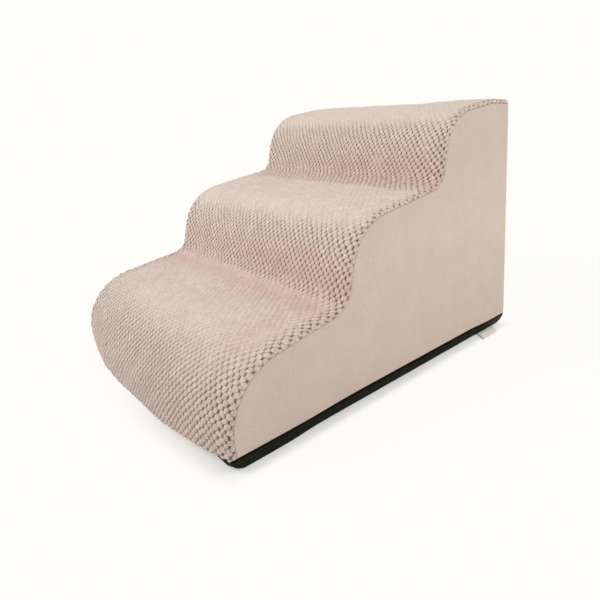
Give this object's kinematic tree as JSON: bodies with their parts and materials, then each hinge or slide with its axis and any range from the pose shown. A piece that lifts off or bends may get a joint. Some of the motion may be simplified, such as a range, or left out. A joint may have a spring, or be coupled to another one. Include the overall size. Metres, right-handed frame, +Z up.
{
  "type": "pet stairs",
  "caption": "Soft foam pet stairs with three rounded steps in a bubble plush and velvet cover that zips off at the back.",
  "frame": {"origin": "on the floor, in the middle of the footprint at the side seams", "axes": "+X across the width, to the right as a pet climbs; +Y from the low front step to the tall back; +Z up"},
  "size_m": [0.412, 0.5193, 0.3554],
  "materials": {
    "bubble_plush": "soft raised pile in staggered bumps",
    "velvet": "short smooth pile",
    "black_cloth": "plain tight weave",
    "grip_rubber": "matt printed dots",
    "core_foam": "firm open-cell foam",
    "soft_foam": "soft open-cell foam",
    "liner_cloth": "thin non-woven",
    "label_cloth": "woven tape, bare",
    "zip_tape": "ribbed tape",
    "zip_teeth": "nylon",
    "zip_metal": "satin nickel"
  },
  "bodies": {
    "stairs": {"core_lower": "core_foam", "core_middle": "core_foam", "core_upper": "core_foam", "comfort_foam": "soft_foam", "inner_liner": "liner_cloth", "tread_cover": "bubble_plush", "side_panel_left": "velvet", "side_panel_right": "velvet", "back_panel": "velvet", "base_band": "black_cloth", "base_panel": "black_cloth", "grip_dots": "grip_rubber", "side_label": "label_cloth", "care_label": "label_cloth", "zipper_tape_upper": "zip_tape", "zipper_tape_lower": "zip_tape", "zipper_coil_upper": "zip_teeth", "zipper_coil_lower": "zip_teeth", "zipper_stops": "zip_metal"},
    "slider": {"zipper_slider": "zip_metal"},
    "pull": {"pull_tab": "zip_metal"}
  },
  "joints": [
    {"name": "zipper_slide", "type": "slide", "parent": "stairs", "child": "slider", "axis": [-1, 0, 0], "range_m": [0, 0.328]},
    {"name": "pull_swing", "type": "hinge", "parent": "slider", "child": "pull", "pos_m": [0.1641, 0.252, 0.0213], "axis": [0, 0, -1], "range_deg": [0, 180]}
  ]
}
